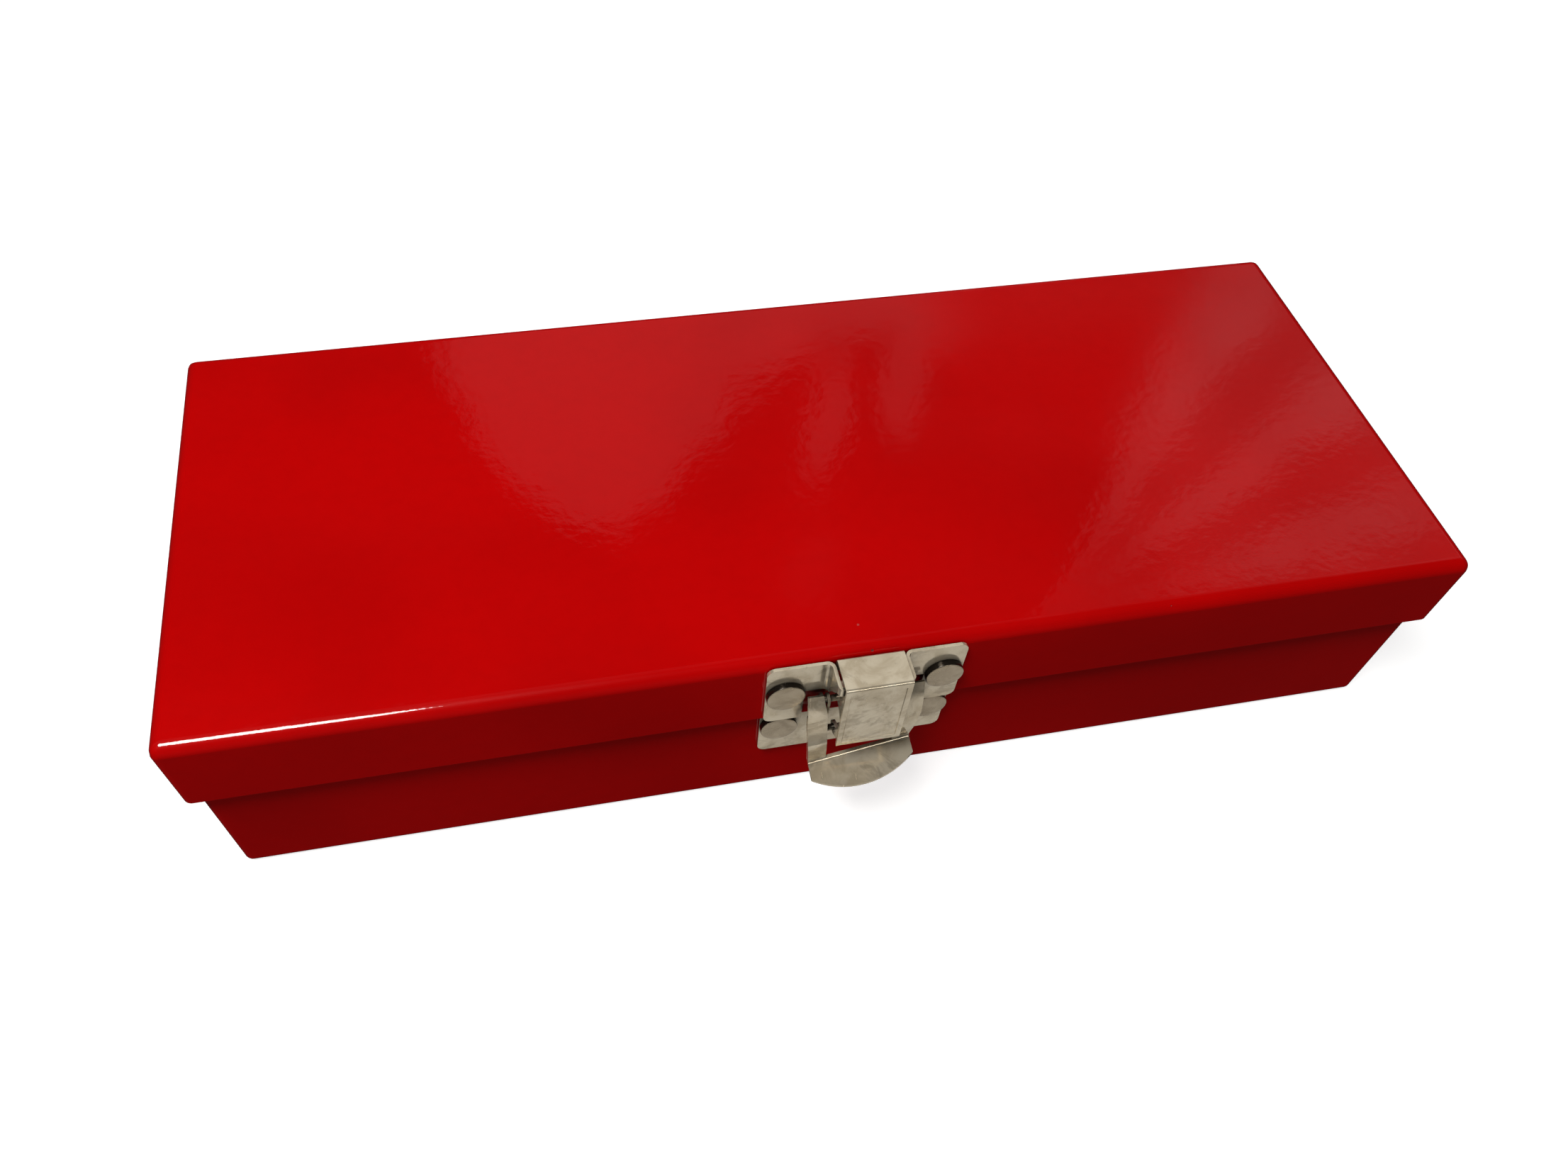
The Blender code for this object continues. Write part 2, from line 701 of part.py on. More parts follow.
def leaf_outline(leaf):
    """A leaf and its rolled knuckle from the side, as (y, z)."""
    near = HINGE_Y - KNUCKLE_R
    meet = degrees(acos((near + LEAF - HINGE_Y) / KNUCKLE_R))
    if leaf == "upper":
        roll = arc((HINGE_Y, HINGE_Z), KNUCKLE_R, 180, 360 + meet, 24)
        return [(near, LEAF_TOP), *roll, (near + LEAF, LEAF_TOP)]
    foot = -BODY_FACE_Y + LEAF_GAP
    roll = arc((HINGE_Y, HINGE_Z), KNUCKLE_R, 180, -meet, 24)
    return [
        (foot, LEAF_LOW),
        (foot, HINGE_Z - 3.4 * MM),
        (near, HINGE_Z - 1.2 * MM),
        *roll,
        (foot + LEAF, HINGE_Z - 3.9 * MM),
        (foot + LEAF, LEAF_LOW),
    ]


def make_hinge_leaf(leaf, side, x):
    """One leaf of a butt hinge: the lower one keeps the middle knuckle, the upper one the two outer."""
    bore = arc((HINGE_Y, HINGE_Z), HINGE_PIN_R + PIN_GAP, 0, 345, 23)
    name = f"hinge_{leaf}_leaf_{side}"
    outlines = [[(-y, z) for y, z in outline] for outline in (leaf_outline(leaf), bore)]
    piece = flat_plate(name, outlines, HINGE_WIDTH, (x, 0, 0), SIDE)
    half_gap = REST_GAP / 2
    middle = KNUCKLE_MIDDLE / 2
    end = HINGE_WIDTH / 2 + 1 * MM
    if leaf == "upper":
        spans = [(-middle - half_gap, middle + half_gap)]
    else:
        spans = [(-end, half_gap - middle), (middle - half_gap, end)]
    reach = KNUCKLE_R + 0.5 * MM
    low_y = HINGE_Y - reach
    for i, (start, stop) in enumerate(spans):
        low = (x + start, low_y, HINGE_Z - reach)
        high = (x + stop, HINGE_Y + reach, HINGE_Z + reach)
        boolean(piece, block(f"{name}_knuckle_cut_{i}", low, high), "DIFFERENCE")
    for name, rivet_x, z in hinge_rivet_places(leaf):
        if abs(rivet_x - x) < HINGE_WIDTH / 2:
            y = -FACE_Y if leaf == "upper" else -BODY_FACE_Y
            drill(piece, name + "_leaf_hole", HINGE_SHANK_R + PIN_GAP, 3 * MM, (rivet_x, y, z), "Y")
    paint(piece, NICKEL)
    if leaf == "upper":
        attach(piece, LID_AXIS)


def make_hinges():
    for side, sign in SIDES:
        x = sign * HINGE_X
        for leaf in HINGE_LEAVES:
            make_hinge_leaf(leaf, side, x)
        place = (x, HINGE_Y, HINGE_Z)
        half = HINGE_WIDTH / 2 + 0.4 * MM
        pin = rod(f"hinge_pin_{side}", HINGE_PIN_R, half, place, "X", chamfer=0.3 * MM)
        paint(pin, NICKEL)


def make_hinge_rivets():
    for leaf, face, stand in (
        ("lower", -BODY_FACE_Y, LEAF_GAP + LEAF),
        ("upper", -FACE_Y, HINGE_Y - KNUCKLE_R + FACE_Y + LEAF),
    ):
        seat = stand + 0.1 * MM
        for name, x, z in hinge_rivet_places(leaf):
            tail = 2 * HINGE_SHANK_R if leaf == "lower" else 0
            grip = seat + SHEET + (REST_GAP if tail else 0)
            place = (x, face + seat, z)
            piece = rivet(
                name, HINGE_HEAD_R, HINGE_HEAD_H, HINGE_SHANK_R, grip, tail, place, BACK, 20
            )
            paint(piece, NICKEL)
            if leaf == "upper":
                attach(piece, LID_AXIS)


make_body_shell()
make_lid_shell()
make_strike_plate()
make_latch_base()
make_draw_link()
make_handle()
make_latch_pins()
make_latch_spring()
make_latch_rivets()
make_hinges()
make_hinge_rivets()
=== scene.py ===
# %% [markdown]
# A small steel toolbox in red enamel, with a nickel draw latch on its front and two butt hinges at the
# back. The CAD model is loaded first and never touched: it says where every piece is and how it moves.
# Each visible piece is then built again with the softness of bent sheet, and each one rides on a body.

# %% Load the frame
from math import cos, pi, radians, sin

import bmesh
import bpy
from mathutils import Matrix, Vector


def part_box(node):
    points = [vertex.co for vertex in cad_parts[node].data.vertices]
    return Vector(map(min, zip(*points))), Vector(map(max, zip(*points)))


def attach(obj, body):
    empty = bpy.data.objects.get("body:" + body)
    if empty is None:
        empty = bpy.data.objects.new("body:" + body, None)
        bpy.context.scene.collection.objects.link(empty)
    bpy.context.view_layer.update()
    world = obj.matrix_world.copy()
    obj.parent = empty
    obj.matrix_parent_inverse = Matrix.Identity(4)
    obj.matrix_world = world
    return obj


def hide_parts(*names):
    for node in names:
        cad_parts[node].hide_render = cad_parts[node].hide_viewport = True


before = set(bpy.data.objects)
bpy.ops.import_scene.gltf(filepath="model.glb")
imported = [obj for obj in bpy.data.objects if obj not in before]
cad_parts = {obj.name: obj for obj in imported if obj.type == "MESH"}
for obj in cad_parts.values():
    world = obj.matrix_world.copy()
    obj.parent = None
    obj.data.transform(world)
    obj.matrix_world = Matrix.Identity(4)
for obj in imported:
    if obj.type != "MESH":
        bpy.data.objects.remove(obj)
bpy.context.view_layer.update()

MM = 0.001

# %% [markdown]
# The camera stands close to the box, over its left end, and looks down at it. A short distance makes
# the near corner large and the far edge small. The place is given in lengths of the box, because a
# view keeps its look when the box and the distance grow together.

# %% Camera
BOX_LENGTH = 304 * MM
PLACE = Vector((-0.2086, -0.6399, 0.8581)) * BOX_LENGTH
TURN, TILT, ROLL = 0.2683, 0.9777, -0.081
LENS, SENSOR = 25.95, 36.0
SHIFT = (0.0203, 0.0575)

ahead = Vector((sin(TURN) * cos(TILT), cos(TURN) * cos(TILT), -sin(TILT)))
level = ahead.cross(Vector((0, 0, 1))).normalized()
under = ahead.cross(level)
across = cos(ROLL) * level + sin(ROLL) * under
down = cos(ROLL) * under - sin(ROLL) * level
camera = bpy.data.objects.new("camera", bpy.data.cameras.new("camera"))
bpy.context.scene.collection.objects.link(camera)
camera.matrix_world = Matrix.Translation(PLACE) @ Matrix((across, -down, -ahead)).transposed().to_4x4()
camera.data.lens, camera.data.sensor_width = LENS, SENSOR
camera.data.shift_x, camera.data.shift_y = SHIFT
camera.data.clip_start, camera.data.clip_end = 0.01, 50
camera.data.dof.use_dof = False
bpy.context.scene.camera = camera
bpy.context.scene.view_settings.view_transform = "Standard"
print("camera", [round(v / MM) for v in PLACE], "mm")

# %% [markdown]
# Materials, the world and the rivets are all node trees, so a few short helpers come first. `node` adds
# a node and fills its inputs, from numbers or from other sockets. `calc` is one line of arithmetic, and
# `band` turns a stretch of a value into a share from none to all.

# %% Node helpers
def fill(tree, target, value):
    if isinstance(value, bpy.types.NodeSocket):
        tree.links.new(value, target)
    else:
        target.default_value = value


def node(tree, kind, inputs=None, **settings):
    made = tree.nodes.new(kind)
    for name, value in settings.items():
        setattr(made, name, value)
    for key, value in (inputs or {}).items():
        fill(tree, made.inputs[key], value)
    return made


def calc(tree, operation, *values, clamp=False):
    made = node(tree, "ShaderNodeMath", operation=operation, use_clamp=clamp)
    for socket, value in zip(made.inputs, values):
        fill(tree, socket, value)
    return made.outputs[0]


def band(tree, value, low, high, smooth=True, out=(0.0, 1.0)):
    """Takes value from low..high to the range out, eased at both ends and held outside them."""
    made = node(tree, "ShaderNodeMapRange", {0: value, 1: low, 2: high, 3: out[0], 4: out[1]})
    made.interpolation_type = "SMOOTHSTEP" if smooth else "LINEAR"
    return made.outputs[0]


def noise(tree, place, scale, detail=2.0, roughness=0.5, distortion=0.0):
    inputs = {"Vector": place, "Scale": scale, "Detail": detail}
    inputs |= {"Roughness": roughness, "Distortion": distortion}
    return node(tree, "ShaderNodeTexNoise", inputs).outputs["Fac"]


def stretched(tree, place, scale, turn=(0, 0, 0)):
    return node(tree, "ShaderNodeMapping", {"Vector": place, "Scale": scale, "Rotation": turn}).outputs[0]


def mixed(tree, share, first, second):
    made = node(tree, "ShaderNodeMix", data_type="RGBA")
    for socket, value in ((made.inputs[0], share), (made.inputs[6], first), (made.inputs[7], second)):
        fill(tree, socket, value)
    return made.outputs[2]


def paint_crevice_shade(tree, colour, reach, limits, strength, shade_colour):
    """Paints shade into colour: darkens it where other sheet stands within reach, where shade falls."""
    shade = node(tree, "ShaderNodeAmbientOcclusion", {"Distance": reach}, samples=8).outputs["AO"]
    painted_shade_share = calc(tree, "MULTIPLY", band(tree, shade, limits[1], limits[0]), strength)
    return mixed(tree, painted_shade_share, colour, shade_colour)


def bump(tree, height, strength, depth, below=None):
    """Raises the skin by height; below is the normal of a coarser bump that it lies on."""
    inputs = {"Height": height, "Strength": strength, "Distance": depth}
    if below:
        inputs["Normal"] = below
    return node(tree, "ShaderNodeBump", inputs).outputs[0]


# %% [markdown]
# The studio is a pale floor under a pale half dome. Both glow a little, so shadows stay faint. They are
# kept out of the gloss and the bounced light: a white room mirrored in the box's sides would turn the
# deep enamel milky.

# %% Studio
FLOOR_HALF = 6.0
DOME_RADIUS = 5.8
FLOOR_PAPER = ((0.48, 0.48, 0.475, 1), (0.52, 0.52, 0.515, 1))
DOME_PAPER = ((0.05, 0.05, 0.05, 1), (0.06, 0.06, 0.06, 1))


def pale(name, colours, glow):
    paper = bpy.data.materials.new(name)
    paper.use_nodes = True
    tree = paper.node_tree
    shader = tree.nodes["Principled BSDF"]
    place = node(tree, "ShaderNodeTexCoord").outputs["Object"]
    fibres = band(tree, noise(tree, place, 900.0, 3.0), 0.3, 0.7)
    tree.links.new(mixed(tree, fibres, *colours), shader.inputs["Base Color"])
    shader.inputs["Roughness"].default_value = 0.9
    shader.inputs["Specular IOR Level"].default_value = 0.1
    shader.inputs["Emission Color"].default_value = (1, 1, 1, 1)
    shader.inputs["Emission Strength"].default_value = glow
    return paper


def stand(name, bm, material):
    mesh = bpy.data.meshes.new(name)
    bm.to_mesh(mesh)
    bm.free()
    mesh.materials.append(material)
    card = bpy.data.objects.new(name, mesh)
    bpy.context.scene.collection.objects.link(card)
    card.visible_glossy = card.visible_diffuse = card.visible_shadow = False


floor = bmesh.new()
bmesh.ops.create_grid(floor, x_segments=2, y_segments=2, size=FLOOR_HALF)
stand("floor", floor, pale("paper", FLOOR_PAPER, 0.78))
dome_wall = bmesh.new()
bmesh.ops.create_uvsphere(dome_wall, u_segments=48, v_segments=24, radius=DOME_RADIUS)
sunk = [corner for corner in dome_wall.verts if corner.co.z < -0.01]
bmesh.ops.delete(dome_wall, geom=sunk, context="VERTS")
bmesh.ops.reverse_faces(dome_wall, faces=dome_wall.faces)
stand("backdrop", dome_wall, pale("backdrop_paper", DOME_PAPER, 0.86))

# %% [markdown]
# One large soft light stands over the left end of the box. It lights the lid, and the rounded bend at
# the lid's front edge mirrors it as a thin bright line that fades towards the latch. Two wide fills reach
# the back and the front walls, so that the box reads well from every side; the gloss doesn't mirror them.

# %% Lights
def soft_light(name, towards, distance, size, power, tint=(1, 1, 1)):
    light = bpy.data.lights.new(name, "AREA")
    light.shape = "ELLIPSE"
    light.size, light.size_y = size
    light.energy, light.color = power, tint
    lamp = bpy.data.objects.new(name, light)
    bpy.context.scene.collection.objects.link(lamp)
    direction = Vector(towards).normalized()
    facing_in = direction.to_track_quat("Z", "Y").to_matrix().to_4x4()
    lamp.matrix_world = Matrix.Translation(direction * distance) @ facing_in
    return lamp


soft_light("key", (-0.36, -0.24, 0.90), 1.2, (0.55, 0.30), 10.7, (1.0, 0.985, 0.96))
back_fill = soft_light("back_fill", (0.45, 0.85, 0.30), 1.6, (1.0, 0.5), 7.0)
front_fill = soft_light("front_fill", (-0.10, -0.97, 0.02), 1.4, (1.8, 1.3), 3.7)
back_fill.visible_glossy = front_fill.visible_glossy = False

# These three light the plated pieces alone: a pale table, a ceiling and a thin strip for glints.
PLATED = bpy.data.collections.new("plated_pieces")
for name, towards, distance, size, power in (
    ("table_glow", (0.20, -0.55, -0.81), 0.60, (1.1, 0.8), 0.98),
    ("ceiling_glow", (0.10, 0.60, 0.80), 0.80, (1.0, 0.7), 0.7),
    ("edge_glow", (0.25, -0.80, 0.55), 0.90, (0.45, 0.06), 0.6),
):
    glow = soft_light(name, towards, distance, size, power, (1.0, 0.97, 0.92))
    glow.light_linking.receiver_collection = PLATED

# %% [markdown]
# Gloss shows what stands around an object. The room here is dark, with a pale torn patch of window behind
# the box and a fan of soft streaks further right. Both are drawn in the world by direction: dividing x and
# y by the height above the horizon turns a direction into plain distances on a ceiling one unit up, and a
# level lid mirrors that ceiling as it is.

# %% World
WINDOW_GLOW = 0.18
STREAK_GLOW = 0.36
ROOM_GLOW = 0.012
# Each lobe hangs off the window's right end: centre x and y, half width, half length, glow.
LOBES = (
    (0.345, 1.01, 0.036, 0.13, 0.80),
    (0.475, 1.09, 0.050, 0.15, 0.75),
    (0.275, 0.79, 0.05, 0.08, 0.16),
)
LOBE_LEAN = 0.38
FAN_X, FAN_Y = 0.50, 0.66
STREAKS_PER_RADIAN, STREAKS_START = 20.0, -16.4


def torn_window(tree, x, y, ragged, shiver):
    """The pale patch: a bowed left edge, a slanting right edge, a torn top strip and a level near end."""
    fall = calc(tree, "MAXIMUM", calc(tree, "MULTIPLY_ADD", y, -2.53, 3.14), 0.0)
    left = calc(tree, "MULTIPLY_ADD", calc(tree, "POWER", fall, 2.2), -0.19, calc(tree, "ADD", x, 0.13))
    left = calc(tree, "MULTIPLY_ADD", ragged, 0.09, left)
    right = calc(tree, "SUBTRACT", calc(tree, "MULTIPLY_ADD", y, 1.0, -0.785), x)
    right = calc(tree, "MULTIPLY_ADD", ragged, 0.16, right)
    right = calc(tree, "MULTIPLY_ADD", shiver, 0.12, right)
    top = calc(tree, "MULTIPLY_ADD", shiver, 0.16, y)
    top = calc(tree, "MULTIPLY", band(tree, top, 1.09, 1.19), band(tree, x, 0.64, 0.50))
    window = calc(tree, "MAXIMUM", band(tree, right, -0.02, 0.06), calc(tree, "MULTIPLY", top, 0.9))
    window = calc(tree, "MULTIPLY", window, band(tree, left, -0.01, 0.035))
    near_end = calc(tree, "MULTIPLY_ADD", shiver, 0.10, y)
    return calc(tree, "MULTIPLY", window, band(tree, near_end, 0.80, 0.88))


def lobe(tree, x, y, shiver, centre_x, centre_y, half_x, half_y, glow):
    dy = calc(tree, "SUBTRACT", y, centre_y)
    dx = calc(tree, "SUBTRACT", calc(tree, "SUBTRACT", x, centre_x), calc(tree, "MULTIPLY", dy, LOBE_LEAN))
    dx, dy = calc(tree, "DIVIDE", dx, half_x), calc(tree, "DIVIDE", dy, half_y)
    squares = calc(tree, "ADD", calc(tree, "MULTIPLY", dx, dx), calc(tree, "MULTIPLY", dy, dy))
    far = calc(tree, "MULTIPLY_ADD", shiver, -0.7, calc(tree, "SQRT", squares))
    return calc(tree, "MULTIPLY", band(tree, far, 1.1, 0.35), glow)


def fan_of_streaks(tree, x, y, ragged):
    """Soft rays that spread from one point and fade towards it."""
    fan = calc(tree, "ARCTAN2", calc(tree, "SUBTRACT", y, FAN_Y), calc(tree, "SUBTRACT", x, FAN_X))
    fan = calc(tree, "MULTIPLY_ADD", ragged, 0.12, fan)
    wave = calc(tree, "COSINE", calc(tree, "MULTIPLY_ADD", fan, STREAKS_PER_RADIAN, STREAKS_START))
    rays = band(tree, wave, -1.0, 1.0, out=(0.42, 1.0))
    streaks = calc(tree, "MULTIPLY", band(tree, fan, 1.02, 0.76), rays)
    streaks = calc(tree, "MULTIPLY", streaks, band(tree, ragged, -0.22, 0.20, out=(0.6, 1.0)))
    reach = calc(tree, "MULTIPLY_ADD", y, 0.4, calc(tree, "SUBTRACT", x, 0.78))
    return calc(tree, "MULTIPLY", streaks, band(tree, reach, 0.0, 0.42, out=(0.30, 1.0)))


def make_world():
    world = bpy.data.worlds.new("room")
    bpy.context.scene.world = world
    world.use_nodes = True
    tree = world.node_tree
    direction = node(tree, "ShaderNodeTexCoord").outputs["Generated"]
    axes = node(tree, "ShaderNodeSeparateXYZ", {0: direction}).outputs
    height = calc(tree, "MAXIMUM", axes["Z"], 0.05)
    x = calc(tree, "DIVIDE", axes["X"], height)
    y = calc(tree, "DIVIDE", axes["Y"], height)
    flat = node(tree, "ShaderNodeCombineXYZ", {0: x, 1: y}).outputs[0]
    ragged = calc(tree, "SUBTRACT", noise(tree, flat, 7.0, 5.0, 0.62), 0.5)
    ripples = noise(tree, stretched(tree, flat, (26.0, 5.0, 1.0)), 1.0, 4.0, 0.6)
    shiver = calc(tree, "SUBTRACT", ripples, 0.5)
    window = torn_window(tree, x, y, ragged, shiver)
    for shape in LOBES:
        window = calc(tree, "MAXIMUM", window, lobe(tree, x, y, shiver, *shape))
    window = calc(tree, "MULTIPLY", window, WINDOW_GLOW)
    streaks = calc(tree, "MULTIPLY", fan_of_streaks(tree, x, y, ragged), STREAK_GLOW)
    glow = calc(tree, "ADD", window, streaks)
    above = band(tree, axes["Z"], 0.12, 0.40)
    behind = band(tree, axes["Y"], 0.05, 0.30)
    fade = band(tree, calc(tree, "ADD", x, y), 3.2, 2.0)
    glow = calc(tree, "MULTIPLY", calc(tree, "MULTIPLY", glow, above), calc(tree, "MULTIPLY", behind, fade))
    background = tree.nodes["Background"]
    background.inputs["Color"].default_value = (1.0, 1.0, 1.0, 1.0)
    tree.links.new(calc(tree, "ADD", glow, ROOM_GLOW), background.inputs["Strength"])


make_world()

# %% [markdown]
# Enamel on a pressed box is sprayed and baked. Under a clear gloss the colour drifts a little, the skin
# has the faint dimples called orange peel, the sheet behind it is not quite flat, and a few grains of
# dust are caught in it. The paint is thinnest on a bend, so it is a shade darker there and chips first.
# Shade is painted into the colour where the lid hangs over the body and where other sheet closes in.
# The patterns read Object coordinates, so they stay put as the lid swings; the painted shade follows the
# pose.

# %% Red enamel
ENAMEL = (0.63, 0.0006, 0.0008, 1)
ENAMEL_DEEP = (0.55, 0.0004, 0.0006, 1)
ENAMEL_MOTTLE = (0.42, 0.0004, 0.0006, 1)
ENAMEL_ON_BEND = (0.36, 0.0004, 0.0006, 1)
# Painted shade colour for the gaps between sheets.
ENAMEL_PAINTED_SHADE = (0.008, 0.0, 0.0, 1)
PRIMER = (0.16, 0.03, 0.025, 1)
DARK_DUST = (0.10, 0.002, 0.002, 1)
PALE_DUST = (0.75, 0.35, 0.33, 1)


def make_enamel():
    enamel = bpy.data.materials.new("red_enamel")
    enamel.use_nodes = True
    tree = enamel.node_tree
    shader = tree.nodes["Principled BSDF"]
    place = node(tree, "ShaderNodeTexCoord").outputs["Object"]
    drift = band(tree, noise(tree, place, 14.0, 2.0), 0.35, 0.65)
    colour = mixed(tree, drift, ENAMEL, ENAMEL_DEEP)
    mottle = band(tree, noise(tree, place, 260.0, 3.0), 0.35, 0.75, out=(0.0, 0.10))
    colour = mixed(tree, mottle, colour, ENAMEL_MOTTLE)
    bend = node(tree, "ShaderNodeAttribute", attribute_name="bend").outputs["Fac"]
    colour = mixed(tree, calc(tree, "MULTIPLY", bend, 0.18), colour, ENAMEL_ON_BEND)
    chip = band(tree, noise(tree, place, 520.0, 2.0, 0.6), 0.735, 0.75)
    chip = calc(tree, "MULTIPLY", chip, band(tree, bend, 0.55, 0.8))
    colour = mixed(tree, chip, colour, PRIMER)
    grains = node(tree, "ShaderNodeTexVoronoi", {"Vector": place, "Scale": 60.0})
    pick = node(tree, "ShaderNodeSeparateColor", {0: grains.outputs["Color"]}).outputs
    grain = band(tree, grains.outputs["Distance"], 0.035, 0.012)
    grain = calc(tree, "MULTIPLY", grain, band(tree, pick[0], 0.93, 0.94))
    pale_grain = calc(tree, "MULTIPLY", grain, band(tree, pick[1], 0.45, 0.55))
    colour = mixed(tree, calc(tree, "MULTIPLY", grain, 0.55), colour, DARK_DUST)
    colour = mixed(tree, calc(tree, "MULTIPLY", pale_grain, 0.5), colour, PALE_DUST)
    # Painted shade: the enamel goes nearly black where other sheet closes in, as behind the latch.
    colour = paint_crevice_shade(tree, colour, 9.0 * MM, (0.08, 0.44), 0.95, ENAMEL_PAINTED_SHADE)
    tree.links.new(colour, shader.inputs["Base Color"])
    smears = band(tree, noise(tree, stretched(tree, place, (9.0, 26.0, 20.0)), 1.0, 4.0, 0.6), 0.35, 0.75)
    tree.links.new(band(tree, smears, 0.0, 1.0, out=(0.30, 0.42)), shader.inputs["Roughness"])
    peel = noise(tree, place, 360.0, 3.0, 0.5)
    waves = noise(tree, place, 24.0, 1.0, 0.4)
    lumps = calc(tree, "SUBTRACT", grain, chip)
    skin = bump(tree, waves, 0.5, 0.5 * MM)
    skin = bump(tree, peel, 0.4, 0.07 * MM, skin)
    skin = bump(tree, lumps, 0.6, 0.08 * MM, skin)
    tree.links.new(skin, shader.inputs["Normal"])
    tree.links.new(skin, shader.inputs["Coat Normal"])
    shader.inputs["Specular IOR Level"].default_value = 0.04
    shader.inputs["Coat Weight"].default_value = 1.0
    shader.inputs["Coat Roughness"].default_value = 0.035
    shader.inputs["Coat IOR"].default_value = 1.5
    return enamel


RED_ENAMEL = make_enamel()
print("made", RED_ENAMEL.name)

# %% [markdown]
# The latch is stamped from mild steel and plated with nickel. Nickel is a warm, slightly yellow white.
# On cheap plating it is satin rather than mirror bright: rolling lines run through it, fingers leave
# cloudy smears, and shallow scratches cross it. A dulled share of the skin scatters light like a pale
# paint, so it is not fully metallic. The upright rim of a rivet's head is painted nearly black, as painted
# shade and painted dark reflection.

# %% Nickel and spring steel
GREY_SPOT = (0.16, 0.14, 0.11, 1)
BROWN_STAIN = (0.26, 0.20, 0.13, 1)
# Painted shade colour for the gaps between plated parts.
METAL_PAINTED_SHADE = (0.010, 0.008, 0.006, 1)
# Painted shade and painted dark reflection for the upright rims of rivet heads.
RIM_PAINTED_SHADE = (0.008, 0.006, 0.005, 1)


def make_metal(name, bright, dull, shine, rough, rim_painted_shade=0.0):
    metal = bpy.data.materials.new(name)
    metal.use_nodes = True
    tree = metal.node_tree
    shader = tree.nodes["Principled BSDF"]
    place = node(tree, "ShaderNodeTexCoord").outputs["Object"]
    smear = noise(tree, place, 150.0, 4.0, 0.65, 0.6)
    cloud = band(tree, smear, 0.36, 0.66)
    colour = mixed(tree, cloud, bright, dull)
    spots = band(tree, noise(tree, place, 900.0, 3.0, 0.7), 0.62, 0.78, out=(0.0, 0.25))
    colour = mixed(tree, spots, colour, GREY_SPOT)
    stain = noise(tree, stretched(tree, place, (95.0, 95.0, 150.0)), 1.0, 5.0, 0.68, 1.2)
    stain = band(tree, stain, 0.52, 0.66)
    colour = mixed(tree, calc(tree, "MULTIPLY", stain, 0.42), colour, BROWN_STAIN)
    # Painted shade: the plating goes nearly black where other parts crowd close, as in the gap behind the
    # handle.
    colour = paint_crevice_shade(tree, colour, 7.0 * MM, (0.30, 0.88), 0.95, METAL_PAINTED_SHADE)
    # Painted shade and painted dark reflection: faces that turn away from the rivet's axis, its upright rim,
    # are painted nearly black.
    if rim_painted_shade:
        normal = node(tree, "ShaderNodeTexCoord").outputs["Normal"]
        facing = node(tree, "ShaderNodeSeparateXYZ", {0: normal}).outputs["Y"]
        side = band(tree, calc(tree, "ABSOLUTE", facing), 0.80, 0.45, out=(0.0, rim_painted_shade))
        colour = mixed(tree, side, colour, RIM_PAINTED_SHADE)
    tree.links.new(colour, shader.inputs["Base Color"])
    lines = noise(tree, stretched(tree, place, (90.0, 2600.0, 2600.0)), 1.0, 2.0, 0.6)
    scratch = noise(tree, stretched(tree, place, (2600.0, 200.0, 70.0), (0.0, 0.6, 0.2)), 1.0, 1.0)
    scratch = band(tree, scratch, 0.70, 0.75)
    finish = band(tree, smear, 0.30, 0.72, out=rough)
    finish = calc(tree, "MULTIPLY_ADD", scratch, 0.12, finish)
    finish = calc(tree, "MULTIPLY_ADD", calc(tree, "SUBTRACT", lines, 0.5), 0.10, finish)
    tree.links.new(finish, shader.inputs["Roughness"])
    height = calc(tree, "MULTIPLY_ADD", scratch, -0.5, lines)
    fine = bump(tree, height, 0.2, 0.006 * MM)
    dents = noise(tree, place, 320.0, 2.0)
    skin = bump(tree, dents, 0.3, 0.03 * MM, fine)
    tree.links.new(skin, shader.inputs["Normal"])
    shader.inputs["Metallic"].default_value = shine
    return metal


NICKEL_TONES = (0.86, 0.76, 0.58, 1), (0.66, 0.56, 0.40, 1)
RIVET_TONES = (0.56, 0.47, 0.34, 1), (0.44, 0.36, 0.25, 1)
SPRING_TONES = (0.30, 0.29, 0.27, 1), (0.20, 0.19, 0.17, 1)
NICKEL = make_metal("nickel", *NICKEL_TONES, 0.62, (0.07, 0.22))
RIVET_NICKEL = make_metal("rivet_nickel", *RIVET_TONES, 0.62, (0.14, 0.30), rim_painted_shade=0.97)
SPRING_WIRE = make_metal("spring_wire", *SPRING_TONES, 0.9, (0.28, 0.42))
print("made", NICKEL.name, RIVET_NICKEL.name, SPRING_WIRE.name)

# %% [markdown]
# Every finished piece goes through `settle`: it is named, rides on its body, hides the CAD nodes it
# stands for and takes its finish. Plated pieces also join the group that the plating's own lights
# reach. `frozen` turns a piece with modifiers into a plain mesh, which keeps its place in its vertices.

# %% Settle and freeze
def settle(piece, name, body, nodes, finish):
    piece.name = name
    piece.data.name = name
    piece.data.materials.clear()
    piece.data.materials.append(finish)
    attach(piece, body)
    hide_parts(*nodes)
    if finish != RED_ENAMEL:
        PLATED.objects.link(piece)
    print(name, "faces", len(piece.data.polygons))
    return piece


def object_from(name, bm):
    mesh = bpy.data.meshes.new(name)
    bm.to_mesh(mesh)
    bm.free()
    piece = bpy.data.objects.new(name, mesh)
    bpy.context.scene.collection.objects.link(piece)
    return piece


def frozen(piece):
    bpy.context.view_layer.update()
    graph = bpy.context.evaluated_depsgraph_get()
    seen = piece.evaluated_get(graph)
    mesh = bpy.data.meshes.new_from_object(seen, preserve_all_data_layers=True, depsgraph=graph)
    mesh.transform(piece.matrix_world)
    plain = bpy.data.objects.new(piece.name, mesh)
    bpy.context.scene.collection.objects.link(plain)
    bpy.data.objects.remove(piece)
    return plain


